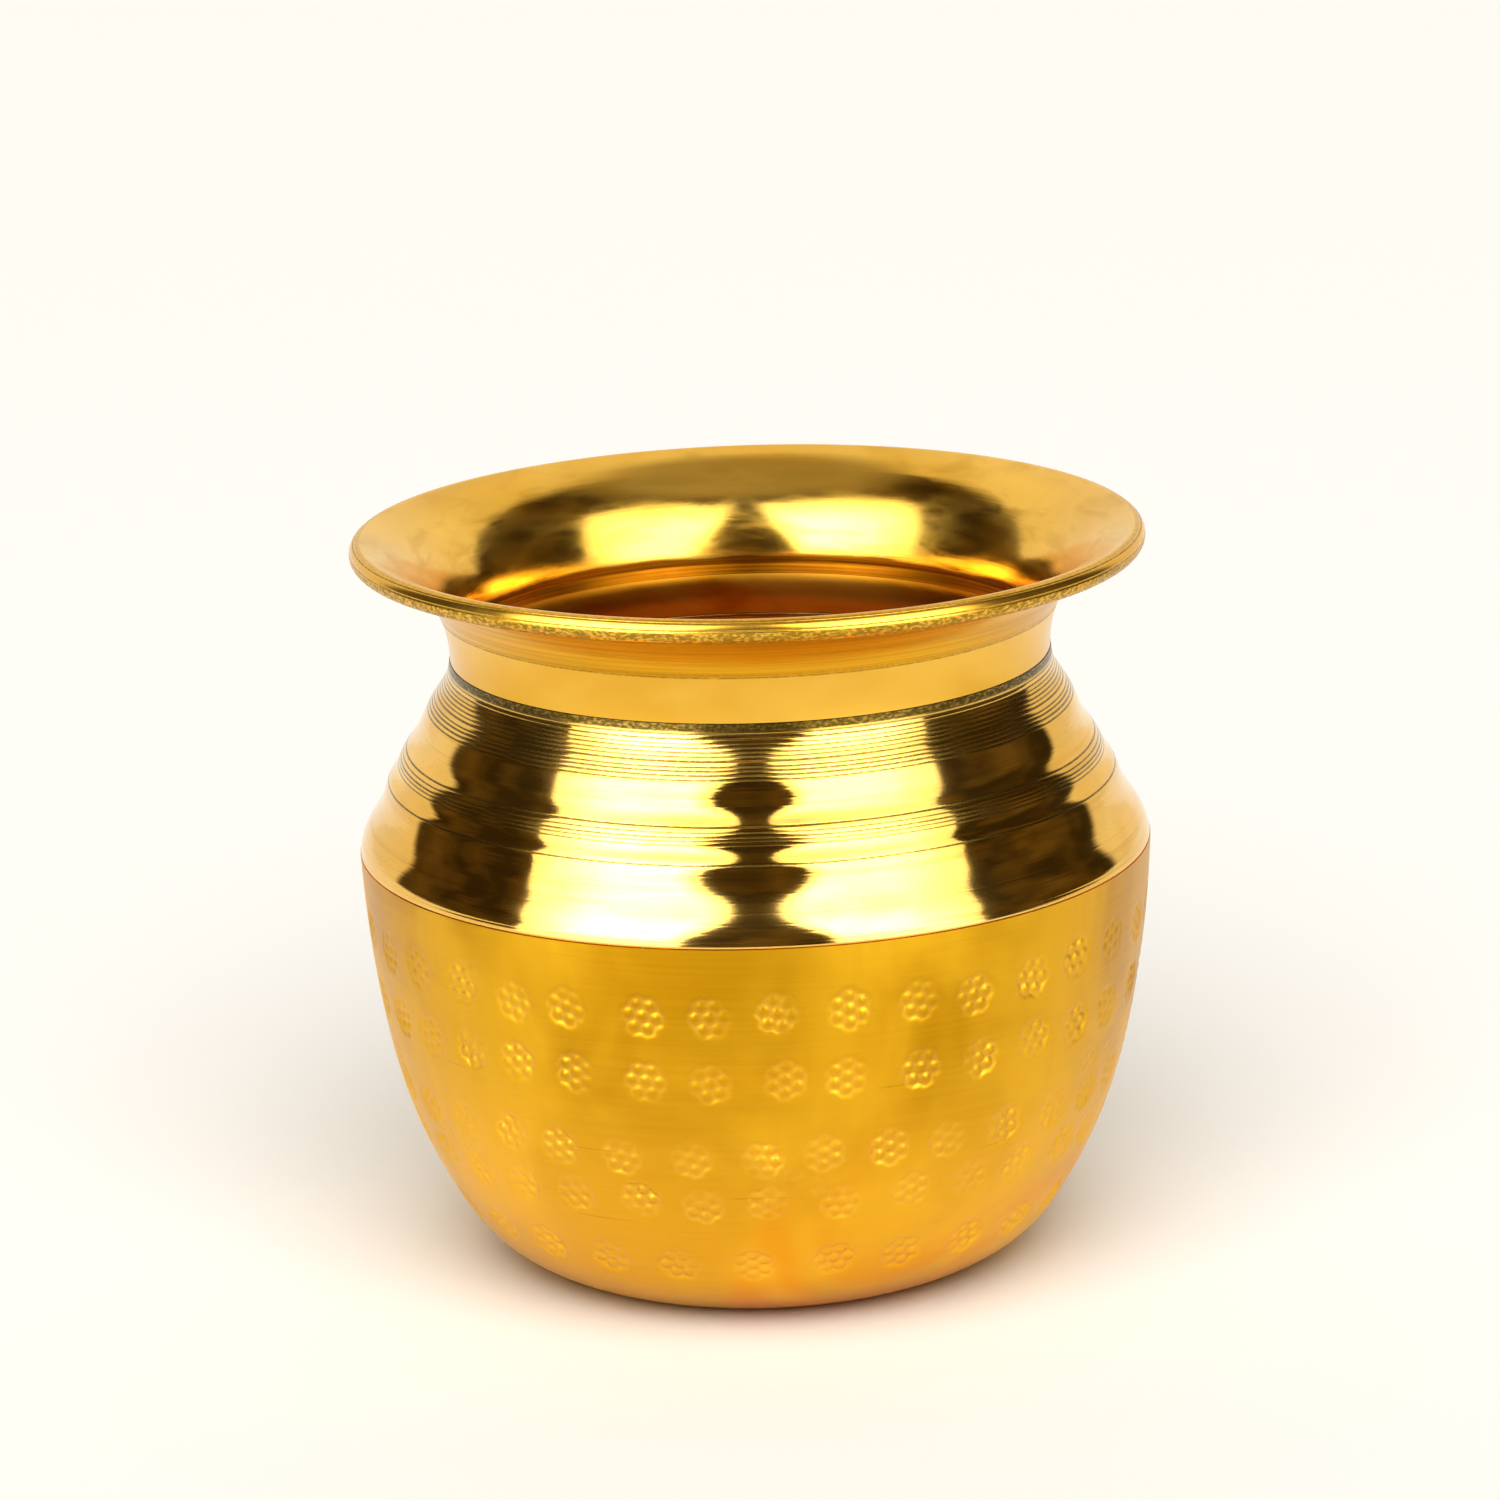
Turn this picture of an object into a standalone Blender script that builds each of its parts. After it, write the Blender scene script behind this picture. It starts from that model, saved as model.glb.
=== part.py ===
"""A brass kalash pot, made of sheet brass as the real one is.

Three turned shells, the bowl, the shoulder and the neck, lap one inside the next and are brazed
together. The neck's mouth is curled over a brass wire, which stiffens the rim.

Metres, +Z up. The origin is the middle of the flat base, and Z is the axis the pot was turned on.
Run it with: blender --background --python part.py
"""

import math

import bpy

# The sheet and the joints
SHEET = 0.0008            # thickness of the brass sheet
GAP = 0.0003              # room kept between two pieces, where the real joint has a film of braze
LAP = 0.0050              # how far one shell runs up behind the next
BOWL_JOGGLE = 0.0020      # height over which the bowl's sheet steps in to make its lap
NECK_JOGGLE = 0.0008      # and the neck's

# The bowl, a three-centred curve that starts from its flat base
BASE_RADIUS = 0.0306
BASE_CORNER = (0.0204, 57.2)      # radius, and how far the curve turns in degrees
LOWER_SIDE = (0.0802, 20.9)
UPPER_SIDE_RADIUS = 0.1789

# Heights of the two joints, which are the widest and the narrowest place
BELLY_SEAM = 0.0670
NECK_SEAM = 0.0977

# The shoulder's outer side as (height, radius), from the belly seam to the throat: three soft
# swells that the turning left, each a flat stretch followed by a steeper one
SHOULDER_SIDE = (
    (BELLY_SEAM, 0.0625),
    (0.0720, 0.0604),
    (0.0755, 0.0586),
    (0.0785, 0.0574),
    (0.0815, 0.0556),
    (0.0845, 0.0536),
    (0.0870, 0.0522),
    (0.0895, 0.0510),
    (0.0920, 0.0494),
    (0.0948, 0.0480),
    (NECK_SEAM, 0.0473),
)

# The neck's flare, one hollow curve from the throat to the rim, and the curl that it runs into
# there, an oval a little taller than it is wide
THROAT_RADIUS = 0.0472
FLARE_CURVE = 0.0195              # radius of the hollow curve
FLARE_SLOPE = 18.8                # degrees above level where the flare meets the curl
CURL_HALF_WIDTH = 0.00165
CURL_HALF_HEIGHT = 0.0018
CURL_RADIUS = 0.06065             # from the pot's axis to the middle of the curl
TOTAL_HEIGHT = 0.1173
CURL_START = 107.3                # where the flare runs into the oval, degrees about its middle
CURL_END = -152.0                 # where the sheet's raw edge stops, under the rim
WIRE_RADIUS = 0.00055

# The braze
FILLET = 0.0010                   # leg of the fillet that stands inside each lap

# How finely the solids are faceted
TURNS = 48                        # facets round the axis, a multiple of 4
CORNER_STEPS, LOWER_STEPS, UPPER_STEPS = 6, 4, 4
LIP_STEPS, SKIRT_STEPS = 2, 3
SHOULDER_OUTER_STEPS, SHOULDER_INNER_STEPS = 16, 10
FLARE_STEPS, CURL_STEPS = 8, 12
WIRE_SIDES = 8
MERGE_DISTANCE = 1e-5             # points of a turned solid that meet on its axis become one
TOP_TO_BOTTOM = -1

# What each piece is finished as: a name, a colour and a roughness
MATTE_BRASS = ("matte_brass", (0.74, 0.42, 0.06), 0.42)
POLISHED_BRASS = ("polished_brass", (0.85, 0.60, 0.18), 0.14)
SATIN_BRASS = ("satin_brass", (0.82, 0.53, 0.12), 0.28)
BRAZE_METAL = ("braze_metal", (0.66, 0.52, 0.26), 0.45)
METALLIC = 1.0


def clear_scene():
    for item in list(bpy.data.objects):
        bpy.data.objects.remove(item, do_unlink=True)


def brass(name, colour, roughness):
    """A metal material, made once for each name."""
    material = bpy.data.materials.get(name)
    if material is None:
        material = bpy.data.materials.new(name)
        material.use_nodes = True
        shader = material.node_tree.nodes["Principled BSDF"]
        shader.inputs["Base Color"].default_value = (*colour, 1.0)
        shader.inputs["Roughness"].default_value = roughness
        shader.inputs["Metallic"].default_value = METALLIC
    return material


# ---------------------------------------------------------------- curves in the (radius, height) plane

def arc(start, heading, radius, turn, steps):
    """Points of an arc that leaves start along heading and turns left by turn, in radians."""
    centre_r = start[0] - radius * math.sin(heading)
    centre_z = start[1] + radius * math.cos(heading)
    angles = [heading + turn * i / steps for i in range(1, steps + 1)]
    return [(centre_r + radius * math.sin(a), centre_z - radius * math.cos(a)) for a in angles]


def bowl_side(inset):
    """The bowl's curve from the rim of the base to the belly seam, inset from its outer skin."""
    points = [(BASE_RADIUS, inset)]
    heading = 0.0
    for (radius, degrees), steps in ((BASE_CORNER, CORNER_STEPS), (LOWER_SIDE, LOWER_STEPS)):
        turn = math.radians(degrees)
        points += arc(points[-1], heading, radius - inset, turn, steps)
        heading += turn
    radius = UPPER_SIDE_RADIUS - inset
    centre_z = points[-1][1] + radius * math.cos(heading)
    turn = math.acos((centre_z - BELLY_SEAM) / radius) - heading
    return points + arc(points[-1], heading, radius, turn, UPPER_STEPS)


def through(stations, z):
    """Radius at height z of a smooth curve through the stations, each a (height, radius)."""
    last = len(stations) - 2
    i = max(k for k in range(last + 1) if k == 0 or stations[k][0] <= z)

    def slope(k):
        low, high = stations[max(k - 1, 0)], stations[min(k + 1, last + 1)]
        return (high[1] - low[1]) / (high[0] - low[0])

    (z0, r0), (z1, r1) = stations[i], stations[i + 1]
    span = z1 - z0
    t = (z - z0) / span
    return (
        r0 * (2 * t**3 - 3 * t**2 + 1)
        + slope(i) * span * (t**3 - 2 * t**2 + t)
        + r1 * (3 * t**2 - 2 * t**3)
        + slope(i + 1) * span * (t**3 - t**2)
    )


def shoulder_side(inset, low, high, steps):
    """Points up the shoulder's side between two heights, moved in from its outer skin."""
    nudge = (high - low + SHEET) / 1000
    points = []
    for i in range(steps + 1):
        z = low + (high - low) * i / steps
        radius = through(SHOULDER_SIDE, z)
        slope = (through(SHOULDER_SIDE, z + nudge) - through(SHOULDER_SIDE, z - nudge)) / (2 * nudge)
        scale = inset / math.hypot(1.0, slope)
        points.append((radius - scale, z + scale * slope))
    return points


def curl(inset):
    """Points on the rim's oval, from where the flare runs into it to the sheet's raw edge."""
    middle = TOTAL_HEIGHT - CURL_HALF_HEIGHT
    turn = CURL_END - CURL_START
    angles = [math.radians(CURL_START + turn * i / CURL_STEPS) for i in range(CURL_STEPS + 1)]
    return [
        (
            CURL_RADIUS + (CURL_HALF_WIDTH - inset) * math.cos(a),
            middle + (CURL_HALF_HEIGHT - inset) * math.sin(a),
        )
        for a in angles
    ]


def flare(inset):
    """The flare's hollow curve, from upright at the throat to where the curl takes over."""
    radius = FLARE_CURVE + inset
    centre = (THROAT_RADIUS + FLARE_CURVE, NECK_SEAM + GAP)
    angles = [math.radians((90.0 - FLARE_SLOPE) * i / FLARE_STEPS) for i in range(FLARE_STEPS)]
    return [(centre[0] - radius * math.cos(a), centre[1] + radius * math.sin(a)) for a in angles]


# ---------------------------------------------------------------- solids

def turned(name, profile, material, closed=True):
    """A solid turned about Z from a profile that runs down its outer side, top to bottom."""
    mesh = bpy.data.meshes.new(name)
    points = [(radius, 0.0, z) for radius, z in profile]
    edges = [(i, i + 1) for i in range(len(points) - 1)]
    if closed:
        edges.append((len(points) - 1, 0))
    mesh.from_pydata(points, edges, [])
    solid = bpy.data.objects.new(name, mesh)
    pot.objects.link(solid)
    turning = solid.modifiers.new("turning", "SCREW")
    turning.axis = "Z"
    turning.angle = math.tau
    turning.steps = turning.render_steps = TURNS
    turning.use_merge_vertices = True
    turning.merge_threshold = MERGE_DISTANCE
    turning.use_smooth_shade = True
    mesh.materials.append(material)
    return solid


def make_bowl():
    """The raised bowl: flat base, round side, and a lip that steps in behind the shoulder."""
    outer = bowl_side(0.0)[:-1]
    inner = bowl_side(SHEET)[:-1]
    seam = (through(SHOULDER_SIDE, BELLY_SEAM), BELLY_SEAM - GAP)
    lip_low, lip_high = BELLY_SEAM + GAP, BELLY_SEAM + LAP
    lip_out = shoulder_side(SHEET + GAP, lip_low, lip_high, LIP_STEPS)
    lip_in = shoulder_side(2 * SHEET + GAP, lip_low, lip_high, LIP_STEPS)
    foot = (lip_out[0][0], seam[1])
    stepping_in = (bowl_side(SHEET)[-1][0], BELLY_SEAM - BOWL_JOGGLE)
    profile = (
        [(0.0, SHEET)] + inner + [stepping_in] + lip_in
        + lip_out[::TOP_TO_BOTTOM] + [foot, seam] + outer[::TOP_TO_BOTTOM] + [(0.0, 0.0)]
    )
    return turned("bowl", profile, brass(*MATTE_BRASS), closed=False)


def make_shoulder():
    """The turned shoulder: one sheet thick, from the belly seam to the neck seam."""
    outer = shoulder_side(0.0, BELLY_SEAM, NECK_SEAM, SHOULDER_OUTER_STEPS)
    inner = shoulder_side(SHEET, BELLY_SEAM, NECK_SEAM, SHOULDER_INNER_STEPS)
    inner[0] = (inner[0][0], BELLY_SEAM)
    inner[-1] = (inner[-1][0], NECK_SEAM)
    return turned("shoulder", inner + outer[::TOP_TO_BOTTOM], brass(*POLISHED_BRASS))


def make_neck():
    """The neck: a skirt inside the shoulder, the throat, the flare and the curled rim."""
    skirt_low, skirt_high = NECK_SEAM - LAP, NECK_SEAM - GAP
    skirt_out = shoulder_side(SHEET + GAP, skirt_low, skirt_high, SKIRT_STEPS)
    skirt_in = shoulder_side(2 * SHEET + GAP, skirt_low, skirt_high, SKIRT_STEPS)
    foot = (skirt_out[-1][0], NECK_SEAM + GAP)
    stepping_out = (skirt_in[-1][0], NECK_SEAM + GAP + NECK_JOGGLE)
    inner = skirt_in + [stepping_out] + flare(SHEET)[1:] + curl(0.0)
    outer = skirt_out + [foot] + flare(0.0) + curl(SHEET)
    return turned("neck", inner + outer[::TOP_TO_BOTTOM], brass(*SATIN_BRASS))


def make_rim_wire():
    """The wire inside the curled rim, bent to a ring with its ends closed."""
    bpy.ops.mesh.primitive_torus_add(
        major_radius=CURL_RADIUS,
        minor_radius=WIRE_RADIUS,
        major_segments=TURNS,
        minor_segments=WIRE_SIDES,
        location=(0.0, 0.0, TOTAL_HEIGHT - CURL_HALF_HEIGHT),
    )
    wire = bpy.context.object
    wire.name = wire.data.name = "rim_wire"
    wire.data.materials.append(brass(*SATIN_BRASS))
    wire.data.shade_smooth()
    for holder in list(wire.users_collection):
        holder.objects.unlink(wire)
    pot.objects.link(wire)
    return wire


def make_fillet(name, lap_end, upwards):
    """A ring of braze in the corner between a lap's inner edge and the shoulder's inner side."""
    direction = 1.0 if upwards else -1.0
    start = lap_end + direction * GAP
    corner, far = shoulder_side(SHEET + GAP, start, start + direction * FILLET, 1)
    tip = shoulder_side(SHEET + GAP + FILLET, start, start, 1)[0]
    profile = [tip, far, corner] if upwards else [far, tip, corner]
    return turned(name, profile, brass(*BRAZE_METAL))


clear_scene()
pot = bpy.data.collections.new("kalash_pot")
bpy.context.scene.collection.children.link(pot)
make_bowl()
make_shoulder()
make_neck()
make_rim_wire()
make_fillet("belly_braze", BELLY_SEAM + LAP, upwards=True)
make_fillet("neck_braze", NECK_SEAM - LAP, upwards=False)
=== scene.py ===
"""The looks of a brass kalash pot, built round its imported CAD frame.

Three shells of sheet brass, each a closed mesh with its real details in it: the bowl with its rows
of punched flowers, the shoulder with its swells and turning grooves, and the neck with its curled
rim. Metres, +Z up, with the origin in the middle of the flat base.
"""

import math
import random

import bmesh
import bpy
import numpy as np
from mathutils import Matrix, Vector


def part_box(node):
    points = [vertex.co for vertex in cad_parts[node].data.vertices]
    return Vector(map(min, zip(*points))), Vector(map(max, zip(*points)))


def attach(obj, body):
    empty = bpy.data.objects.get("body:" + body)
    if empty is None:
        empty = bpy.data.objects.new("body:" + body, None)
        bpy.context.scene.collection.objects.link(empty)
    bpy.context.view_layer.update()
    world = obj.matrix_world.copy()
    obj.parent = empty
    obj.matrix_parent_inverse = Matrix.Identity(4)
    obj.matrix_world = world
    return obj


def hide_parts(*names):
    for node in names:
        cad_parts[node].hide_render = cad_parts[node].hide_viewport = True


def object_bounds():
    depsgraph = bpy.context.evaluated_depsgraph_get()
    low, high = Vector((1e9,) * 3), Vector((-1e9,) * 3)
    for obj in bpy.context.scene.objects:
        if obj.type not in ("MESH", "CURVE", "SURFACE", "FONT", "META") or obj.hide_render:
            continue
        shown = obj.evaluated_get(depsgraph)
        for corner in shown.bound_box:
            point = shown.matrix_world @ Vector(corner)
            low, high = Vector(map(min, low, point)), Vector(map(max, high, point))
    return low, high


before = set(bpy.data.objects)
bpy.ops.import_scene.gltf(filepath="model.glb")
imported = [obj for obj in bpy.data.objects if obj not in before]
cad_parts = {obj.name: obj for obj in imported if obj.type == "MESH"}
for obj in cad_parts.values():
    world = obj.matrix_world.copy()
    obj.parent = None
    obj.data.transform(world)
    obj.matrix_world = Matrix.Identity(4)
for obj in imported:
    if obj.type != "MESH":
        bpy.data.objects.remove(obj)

MM = 0.001
cad_low, cad_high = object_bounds()

# ------------------------------------------------------------------ sizes, from the frame

BELLY_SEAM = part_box("shoulder")[0].z
NECK_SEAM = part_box("shoulder")[1].z
TOTAL_HEIGHT = cad_high.z
BELLY_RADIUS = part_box("shoulder")[1].x
RIM_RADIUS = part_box("neck")[1].x
THROAT_RADIUS = 47.2 * MM
SHEET = 0.8 * MM
TIGHT = 0.1 * MM         # what is left open where one shell's edge meets the next
GAP = 0.3 * MM           # what is left open along a lap
LAP = 5.0 * MM           # how far one shell runs up inside the next

# The bowl's side as arcs from its flat base, each a radius and how far it turns
BASE_RADIUS = 30.6 * MM
CORNER_ARC = (20.4 * MM, math.radians(57.2))
LOWER_ARC = (80.2 * MM, math.radians(20.9))
UPPER_RADIUS = 178.9 * MM

# The shoulder's side: heights above the belly seam and radii, both in mm
SHOULDER_STATIONS = (
    (0.0, 62.5), (5.0, 60.4), (8.5, 58.6), (11.5, 57.4), (14.5, 55.6), (17.5, 53.6), (20.0, 52.2),
    (22.5, 51.0), (25.0, 49.4), (27.8, 48.0), (30.7, 47.3),
)
# and the turning in finer detail: each swell runs from one hollow to the next, leaning most between
# them (heights above the seam in mm, and leans from upright in degrees)
SWELL_HOLLOWS = (0.0, 10.6, 14.4, 20.0, 30.7)
HOLLOW_LEANS = (9.0, 19.0, 19.0, 19.0, 8.0)
SWELL_LEAN = 36.0
LAP_SMOOTHING = 40       # steps of the outline each way that the inner sides are evened out over

# The neck's flare and the curl at its rim
FLARE_CURVE = 19.5 * MM
FLARE_SLOPE = math.radians(18.8)
CURL_HALF_WIDTH = 1.65 * MM
CURL_HALF_HEIGHT = 1.8 * MM
CURL_START = math.radians(107.3)
CURL_END = math.radians(-152.0)
CURL_RADIUS = RIM_RADIUS - CURL_HALF_WIDTH
CURL_HEIGHT = TOTAL_HEIGHT - CURL_HALF_HEIGHT
WIRE_RADIUS = 0.55 * MM

# The camera: how far it stands from the pot's axis at the belly seam, how high it looks from
VIEW_DISTANCE = 0.952
VIEW_ELEVATION = math.radians(15.88)
VIEW_ROLL = math.radians(1.6)
VIEW_LENS = 144.0
# and how far the belly's middle lies from the middle of the picture, right and down
VIEW_RIGHT = math.radians(0.05)
VIEW_DOWN = math.radians(0.81)


# ------------------------------------------------------------------ outlines, as radius and height

def arc(start, heading, radius, turn, count):
    """Points of an arc that leaves start along heading and turns left by turn."""
    angles = heading + np.linspace(0.0, turn, count)
    centre = (start[0] - radius * math.sin(heading), start[1] + radius * math.cos(heading))
    across, up = radius * np.sin(angles), -radius * np.cos(angles)
    return np.column_stack([centre[0] + across, centre[1] + up])


def bowl_side(inset):
    """A fine outline of the bowl from the rim of its base to the belly seam."""
    path = np.array([[BASE_RADIUS, inset]])
    heading = 0.0
    for radius, turn in (CORNER_ARC, LOWER_ARC):
        path = np.vstack([path, arc(path[-1], heading, radius - inset, turn, 200)[1:]])
        heading += turn
    radius = UPPER_RADIUS - inset
    centre = path[-1][1] + radius * math.cos(heading)
    turn = math.acos((centre - BELLY_SEAM) / radius) - heading
    return np.vstack([path, arc(path[-1], heading, radius, turn, 200)[1:]])


def resample(path, spacing):
    """The same outline with its points an even distance apart, near spacing."""
    steps = np.hypot(*np.diff(path, axis=0).T)
    length = np.concatenate([[0.0], np.cumsum(steps)])
    count = max(2, int(round(length[-1] / spacing)) + 1)
    at = np.linspace(0.0, length[-1], count)
    return np.column_stack([np.interp(at, length, path[:, k]) for k in (0, 1)])


def evened(values, reach, **padding):
    """Each value averaged with its neighbours up to reach away."""
    window = 2 * reach + 1
    return np.convolve(np.pad(values, reach, **padding), np.ones(window) / window, mode="valid")


def shoulder_radius():
    """Heights up the shoulder, and its radius at each: the leans give the swells, and the stations
    say where the outline as a whole runs."""
    height = np.linspace(0.0, NECK_SEAM - BELLY_SEAM, 600)
    up = np.linspace(0.0, SWELL_HOLLOWS[-1], 120)
    swell = np.interp(up, SWELL_HOLLOWS, range(len(SWELL_HOLLOWS)))
    hollow = np.interp(up, SWELL_HOLLOWS, HOLLOW_LEANS)
    lean = hollow + (SWELL_LEAN - hollow) * np.sin(math.pi * swell) ** 2
    lean = evened(np.interp(height / MM, up, lean), 6, mode="edge")
    run = np.tan(np.radians(lean))
    inward = np.concatenate([[0.0], np.cumsum((run[1:] + run[:-1]) / 2 * np.diff(height))])
    radius = BELLY_RADIUS - inward
    at, wanted = np.array(SHOULDER_STATIONS).T * MM
    error = np.interp(height, at, np.interp(at, height, radius) - wanted)
    return BELLY_SEAM + height, radius - evened(error, 60, mode="reflect", reflect_type="odd")


SHOULDER_HEIGHTS, SHOULDER_RADII = shoulder_radius()


def shoulder_side(inset, low, high, spacing, smooth=0):
    """Points up the shoulder's side between two heights, moved in from its outer skin."""
    heights, radii = SHOULDER_HEIGHTS, SHOULDER_RADII
    if smooth:
        radii = evened(radii, smooth, mode="reflect", reflect_type="odd")
    slope = np.gradient(radii, heights)
    z = np.linspace(low, high, max(2, int(round((high - low) / spacing)) + 1))
    r, lean = np.interp(z, heights, radii), np.interp(z, heights, slope)
    move = inset / np.hypot(1.0, lean)
    return np.column_stack([r - move, z + move * lean])


def flare(inset, count):
    """The flare's hollow curve, from upright at the throat to where the curl takes over."""
    radius = FLARE_CURVE + inset
    angles = np.linspace(0.0, math.pi / 2 - FLARE_SLOPE, count)
    centre = (THROAT_RADIUS + FLARE_CURVE, NECK_SEAM + GAP)
    across, up = -radius * np.cos(angles), radius * np.sin(angles)
    return np.column_stack([centre[0] + across, centre[1] + up])


def curl(inset, count):
    """The rim's oval, from where the flare runs into it to the sheet's raw edge."""
    angles = np.linspace(CURL_START, CURL_END, count)
    return np.column_stack([
        CURL_RADIUS + (CURL_HALF_WIDTH - inset) * np.cos(angles),
        CURL_HEIGHT + (CURL_HALF_HEIGHT - inset) * np.sin(angles),
    ])


# ------------------------------------------------------------------ turning marks

def notch(distance, width):
    """Depth, from 0 to 1, of a rounded groove of that width at a distance from its middle."""
    return np.clip(1.0 - (2.0 * distance / width) ** 2, 0.0, 1.0) ** 0.7


def turning_grooves(along, start, pitch, count, width, rng):
    """Depth of a row of turning grooves, each a little off its place and of its own strength."""
    depth = np.zeros_like(along)
    for k in range(count):
        middle = start + pitch * (k + rng.uniform(-0.12, 0.12))
        depth = np.maximum(depth, rng.uniform(0.55, 1.0) * notch(np.abs(along - middle), width))
    return depth


# ------------------------------------------------------------------ meshes

WELD = 0.001 * MM
SHARP_ANGLE = math.radians(50.0)


def turned(radius, angle, height):
    """Points at a radius, an angle and a height, as a list."""
    return np.stack([radius * np.cos(angle), radius * np.sin(angle), height], axis=2).reshape(-1, 3)


def lathe_faces(rows, columns, closed):
    """Quads between the rings of a turned mesh; with closed, the last ring joins the first."""
    count = rows if closed else rows - 1
    row, column = np.meshgrid(np.arange(count), np.arange(columns), indexing="ij")
    above, beside = (row + 1) % rows, (column + 1) % columns
    corners = (row, column), (row, beside), (above, beside), (above, column)
    return np.stack([(r * columns + c).ravel() for r, c in corners], axis=1)


def lathe_points(path, columns, move=None):
    """Points of a turned mesh, ring by ring.

    move(angle, radius, height) gives how far the radius and the height shift there.
    """
    angle = np.arange(columns) * math.tau / columns
    radius = np.repeat(path[:, :1], columns, axis=1)
    height = np.repeat(path[:, 1:], columns, axis=1)
    if move:
        shift_r, shift_z = move(angle[None, :], radius, height)
        radius, height = radius + shift_r, height + shift_z
    return turned(radius, angle, height)


def make_object(name, points, faces, materials, face_material=None, values=None):
    """A smooth-shaded object from points and faces; values are extra numbers kept on its points."""
    mesh = bpy.data.meshes.new(name)
    mesh.from_pydata(np.asarray(points).tolist(), [], [list(map(int, f)) for f in faces])
    for key, numbers in (values or {}).items():
        layer = mesh.attributes.new(key, "FLOAT", "POINT")
        layer.data.foreach_set("value", np.asarray(numbers, np.float32))
    for material in materials:
        mesh.materials.append(material)
    if face_material is not None:
        mesh.polygons.foreach_set("material_index", np.asarray(face_material, np.int32))
    mesh.shade_smooth()
    work = bmesh.new()
    work.from_mesh(mesh)
    bmesh.ops.remove_doubles(work, verts=work.verts, dist=WELD)
    bmesh.ops.recalc_face_normals(work, faces=work.faces)
    work.to_mesh(mesh)
    work.free()
    mesh.set_sharp_from_angle(angle=SHARP_ANGLE)
    piece = bpy.data.objects.new(name, mesh)
    bpy.context.scene.collection.objects.link(piece)
    return piece


def stand_for(piece, node):
    """The piece replaces a CAD node, which is hidden, and hangs from the root."""
    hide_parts(node)
    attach(piece, "root")


# ------------------------------------------------------------------ materials

MIX_A, MIX_B, MIX_RESULT = 6, 7, 2  # the colour sockets of a Mix node


class Nodes:
    """Short names for making and joining the nodes of one tree."""

    def __init__(self, tree):
        self.tree = tree

    def add(self, kind, **settings):
        node = self.tree.nodes.new(kind)
        for key, value in settings.items():
            setattr(node, key, value)
        return node

    def put(self, socket, value):
        """Sets a socket to a number, colour or vector, or links it to another node's output."""
        if isinstance(value, bpy.types.NodeSocket):
            self.tree.links.new(value, socket)
        else:
            socket.default_value = value

    def math(self, operation, a, b=0.0, clamp=False):
        node = self.add("ShaderNodeMath", operation=operation, use_clamp=clamp)
        self.put(node.inputs[0], a)
        self.put(node.inputs[1], b)
        return node.outputs[0]

    def vector(self, operation, a, b):
        node = self.add("ShaderNodeVectorMath", operation=operation)
        self.put(node.inputs[0], a)
        self.put(node.inputs[1], b)
        return node.outputs[0]

    def between(self, value, low, high, out_low=0.0, out_high=1.0):
        """Value mapped smoothly from one range to another, and held at its ends."""
        node = self.add("ShaderNodeMapRange", interpolation_type="SMOOTHSTEP")
        for socket, number in zip(node.inputs, (value, low, high, out_low, out_high)):
            self.put(socket, number)
        return node.outputs[0]

    def blend(self, amount, a, b):
        """Colour a, with colour b over it by that amount."""
        node = self.add("ShaderNodeMix", data_type="RGBA")
        self.put(node.inputs["Factor"], amount)
        self.put(node.inputs[MIX_A], a if isinstance(a, bpy.types.NodeSocket) else (*a, 1.0))
        self.put(node.inputs[MIX_B], b if isinstance(b, bpy.types.NodeSocket) else (*b, 1.0))
        return node.outputs[MIX_RESULT]


class Shading(Nodes):
    """A material's nodes, with short names for the ones that the brasses are made of."""

    def __init__(self, name):
        self.material = bpy.data.materials.new(name)
        self.material.use_nodes = True
        super().__init__(self.material.node_tree)
        self.shader = self.tree.nodes["Principled BSDF"]
        self.shader.inputs["Metallic"].default_value = 1.0
        self.place = self.add("ShaderNodeTexCoord").outputs["Object"]

    def stretched(self, x, y, z):
        """The place on the object, with each axis multiplied."""
        return self.vector("MULTIPLY", self.place, (x, y, z))

    def noise(self, vector, detail=3.0, roughness=0.5, distortion=0.0):
        node = self.add("ShaderNodeTexNoise")
        self.put(node.inputs["Vector"], vector)
        self.put(node.inputs["Scale"], 1.0)
        self.put(node.inputs["Detail"], detail)
        self.put(node.inputs["Roughness"], roughness)
        self.put(node.inputs["Distortion"], distortion)
        return node.outputs["Fac"]

    def stored(self, name):
        """A number kept on the mesh's points."""
        node = self.add("ShaderNodeAttribute", attribute_name=name)
        return node.outputs["Fac"]

    def height(self):
        node = self.add("ShaderNodeSeparateXYZ")
        self.put(node.inputs[0], self.place)
        return node.outputs["Z"]

    def bump(self, height, depth, under=None):
        """A bump of that depth in metres, laid over another bump."""
        node = self.add("ShaderNodeBump")
        self.put(node.inputs["Height"], height)
        self.put(node.inputs["Distance"], depth)
        if under is not None:
            self.put(node.inputs["Normal"], under)
        return node.outputs["Normal"]

    def finish(self, colour, roughness, normal):
        self.put(self.shader.inputs["Base Color"], colour)
        self.put(self.shader.inputs["Roughness"], roughness)
        self.put(self.shader.inputs["Normal"], normal)
        return self.material


def turning_lines(s, pitch):
    """Noise drawn out round the pot into turning lines about that far apart."""
    return s.noise(s.stretched(18.0, 18.0, 1.0 / pitch), detail=2.0)


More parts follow.
